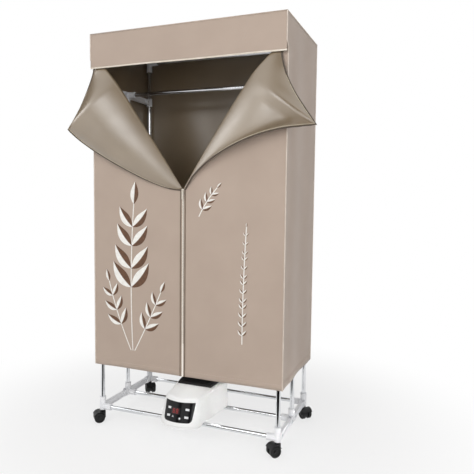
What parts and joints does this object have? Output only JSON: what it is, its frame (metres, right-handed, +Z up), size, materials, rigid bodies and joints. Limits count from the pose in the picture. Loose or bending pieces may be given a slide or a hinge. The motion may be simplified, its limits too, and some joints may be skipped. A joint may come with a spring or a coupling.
{
  "type": "electric clothes dryer",
  "caption": "Folding hot-air drying wardrobe: cloth cover with zipped front on a tube frame with casters, and a warm-air heater under it.",
  "frame": {"origin": "on the floor under the middle of the whole object's box", "axes": "+X to the right as seen from the front, +Y to the rear, +Z up"},
  "size_m": [0.9258, 0.4346, 1.45],
  "materials": {
    "bright_steel_tube": "polished",
    "white_joint_plastic": "satin",
    "rivet_steel": "satin",
    "black_caster_plastic": "matte",
    "cover_cloth": "matte",
    "zip_nylon": "satin",
    "zip_metal": "satin",
    "heater_white_plastic": "gloss",
    "panel_black_gloss": "gloss",
    "key_plastic": "gloss",
    "grille_black_plastic": "matte",
    "element_aluminium": "satin",
    "motor_steel": "satin",
    "board_laminate": "satin",
    "gland_rubber": "matte"
  },
  "bodies": {
    "front_frame": {"front_uprights": "bright_steel_tube", "front_rails": "bright_steel_tube", "front_feet": "white_joint_plastic", "front_heads": "white_joint_plastic", "front_hinge_brackets": "white_joint_plastic", "front_hinge_pins": "rivet_steel", "cover_roof": "cover_cloth", "cover_back": "cover_cloth", "cover_valance": "cover_cloth", "cover_left_side": "cover_cloth", "cover_right_side": "cover_cloth", "cover_left_door": "cover_cloth", "cover_right_door": "cover_cloth", "zip_chain": "zip_nylon"},
    "front_lower_links": {"front_lower_links": "white_joint_plastic"},
    "front_upper_links": {"front_upper_links": "white_joint_plastic"},
    "middle_frame": {"middle_uprights": "bright_steel_tube", "middle_rail": "bright_steel_tube", "hanger_rail": "bright_steel_tube", "middle_feet": "white_joint_plastic", "middle_heads": "white_joint_plastic", "middle_hinge_pins": "rivet_steel"},
    "rear_lower_links": {"rear_lower_links": "white_joint_plastic"},
    "rear_upper_links": {"rear_upper_links": "white_joint_plastic"},
    "rear_frame": {"rear_uprights": "bright_steel_tube", "rear_rails": "bright_steel_tube", "rear_feet": "white_joint_plastic", "rear_heads": "white_joint_plastic", "rear_hinge_brackets": "white_joint_plastic", "rear_hinge_pins": "rivet_steel"},
    "heater": {"heater_base": "heater_white_plastic", "heater_shell": "heater_white_plastic", "control_panel": "panel_black_gloss", "circuit_board": "board_laminate", "heating_element": "element_aluminium", "outlet_grille": "grille_black_plastic", "fan_motor": "motor_steel", "lead_gland": "gland_rubber", "heater_screws": "rivet_steel"},
    "fan": {"fan_wheel": "grille_black_plastic"},
    "zip_slider": {"zip_slider": "zip_metal"},
    "zip_pull": {"zip_pull": "zip_metal"},
    "power_key": {"power_key": "key_plastic"},
    "anion_key": {"anion_key": "key_plastic"},
    "timer_key": {"timer_key": "key_plastic"},
    "mode_key": {"mode_key": "key_plastic"},
    "caster_front_left_swivel": {"caster_front_left_hood": "black_caster_plastic", "caster_front_left_pins": "rivet_steel"},
    "caster_front_left_wheels": {"caster_front_left_wheels": "black_caster_plastic"},
    "caster_front_right_swivel": {"caster_front_right_hood": "black_caster_plastic", "caster_front_right_pins": "rivet_steel"},
    "caster_front_right_wheels": {"caster_front_right_wheels": "black_caster_plastic"},
    "caster_rear_left_swivel": {"caster_rear_left_hood": "black_caster_plastic", "caster_rear_left_pins": "rivet_steel"},
    "caster_rear_left_wheels": {"caster_rear_left_wheels": "black_caster_plastic"},
    "caster_rear_right_swivel": {"caster_rear_right_hood": "black_caster_plastic", "caster_rear_right_pins": "rivet_steel"},
    "caster_rear_right_wheels": {"caster_rear_right_wheels": "black_caster_plastic"}
  },
  "joints": [
    {"name": "fold", "type": "hinge", "parent": "front_frame", "child": "front_lower_links", "pos_m": [0, -0.1193, 0.06], "axis": [1, 0, 0], "range_deg": [0, 88]},
    {"name": "middle_frame_pivot", "type": "hinge", "parent": "front_lower_links", "child": "middle_frame", "pos_m": [0, 0.0027, 0.06], "axis": [1, 0, 0], "range_deg": [-88, 0]},
    {"name": "rear_lower_link_pivot", "type": "hinge", "parent": "middle_frame", "child": "rear_lower_links", "pos_m": [0, 0.0507, 0.06], "axis": [1, 0, 0], "range_deg": [-88, 0]},
    {"name": "rear_frame_pivot", "type": "hinge", "parent": "rear_lower_links", "child": "rear_frame", "pos_m": [0, 0.1727, 0.06], "axis": [1, 0, 0], "range_deg": [0, 88]},
    {"name": "front_upper_link_pivot", "type": "hinge", "parent": "front_frame", "child": "front_upper_links", "pos_m": [0, -0.1193, 1.27], "axis": [1, 0, 0], "range_deg": [0, 88]},
    {"name": "rear_upper_link_pivot", "type": "hinge", "parent": "middle_frame", "child": "rear_upper_links", "pos_m": [0, 0.0507, 1.27], "axis": [1, 0, 0], "range_deg": [-88, 0]},
    {"name": "heater_draw_out", "type": "slide", "parent": "front_frame", "child": "heater", "axis": [0, -1, 0], "range_m": [0, 0.3307]},
    {"name": "fan_spin", "type": "hinge", "parent": "heater", "child": "fan", "pos_m": [0, -0.0193, 0.1], "axis": [0, 0, 1], "continuous": true},
    {"name": "power_key_press", "type": "slide", "parent": "heater", "child": "power_key", "axis": [0, 0.9331, -0.3596], "range_m": [0, 0.001], "stiffness_N_per_m": 400},
    {"name": "anion_key_press", "type": "slide", "parent": "heater", "child": "anion_key", "axis": [0, 0.9331, -0.3596], "range_m": [0, 0.001], "stiffness_N_per_m": 400},
    {"name": "timer_key_press", "type": "slide", "parent": "heater", "child": "timer_key", "axis": [0, 0.9331, -0.3596], "range_m": [0, 0.001], "stiffness_N_per_m": 400},
    {"name": "mode_key_press", "type": "slide", "parent": "heater", "child": "mode_key", "axis": [0, 0.9331, -0.3596], "range_m": [0, 0.001], "stiffness_N_per_m": 400},
    {"name": "zip_run", "type": "slide", "parent": "front_frame", "child": "zip_slider", "axis": [0, 0, -1], "range_m": [0, 0.62]},
    {"name": "zip_pull_swing", "type": "hinge", "parent": "zip_slider", "child": "zip_pull", "pos_m": [0, -0.168, 0.889], "axis": [-1, 0, 0], "range_deg": [0, 150]},
    {"name": "caster_front_left_swivel", "type": "hinge", "parent": "front_frame", "child": "caster_front_left_swivel", "pos_m": [-0.352, -0.1453, 0.045], "axis": [0, 0, 1], "continuous": true},
    {"name": "caster_front_left_roll", "type": "hinge", "parent": "caster_front_left_swivel", "child": "caster_front_left_wheels", "pos_m": [-0.36261, -0.15591, 0.02], "axis": [0.7071, -0.7071, 0], "continuous": true},
    {"name": "caster_front_right_swivel", "type": "hinge", "parent": "front_frame", "child": "caster_front_right_swivel", "pos_m": [0.352, -0.1453, 0.045], "axis": [0, 0, 1], "continuous": true},
    {"name": "caster_front_right_roll", "type": "hinge", "parent": "caster_front_right_swivel", "child": "caster_front_right_wheels", "pos_m": [0.34139, -0.15591, 0.02], "axis": [0.7071, -0.7071, 0], "continuous": true},
    {"name": "caster_rear_left_swivel", "type": "hinge", "parent": "rear_frame", "child": "caster_rear_left_swivel", "pos_m": [-0.352, 0.1987, 0.045], "axis": [0, 0, 1], "continuous": true},
    {"name": "caster_rear_left_roll", "type": "hinge", "parent": "caster_rear_left_swivel", "child": "caster_rear_left_wheels", "pos_m": [-0.34139, 0.18809, 0.02], "axis": [0.7071, 0.7071, 0], "continuous": true},
    {"name": "caster_rear_right_swivel", "type": "hinge", "parent": "rear_frame", "child": "caster_rear_right_swivel", "pos_m": [0.352, 0.1987, 0.045], "axis": [0, 0, 1], "continuous": true},
    {"name": "caster_rear_right_roll", "type": "hinge", "parent": "caster_rear_right_swivel", "child": "caster_rear_right_wheels", "pos_m": [0.36261, 0.18809, 0.02], "axis": [0.7071, 0.7071, 0], "continuous": true}
  ],
  "couplings": [
    {"joint": "middle_frame_pivot", "follows": "fold", "ratio": -1},
    {"joint": "rear_lower_link_pivot", "follows": "fold", "ratio": -1},
    {"joint": "rear_frame_pivot", "follows": "fold", "ratio": 1},
    {"joint": "front_upper_link_pivot", "follows": "fold", "ratio": 1},
    {"joint": "rear_upper_link_pivot", "follows": "fold", "ratio": -1},
    {"joint": "heater_draw_out", "follows": "fold", "m_per_rad": 0.215}
  ]
}
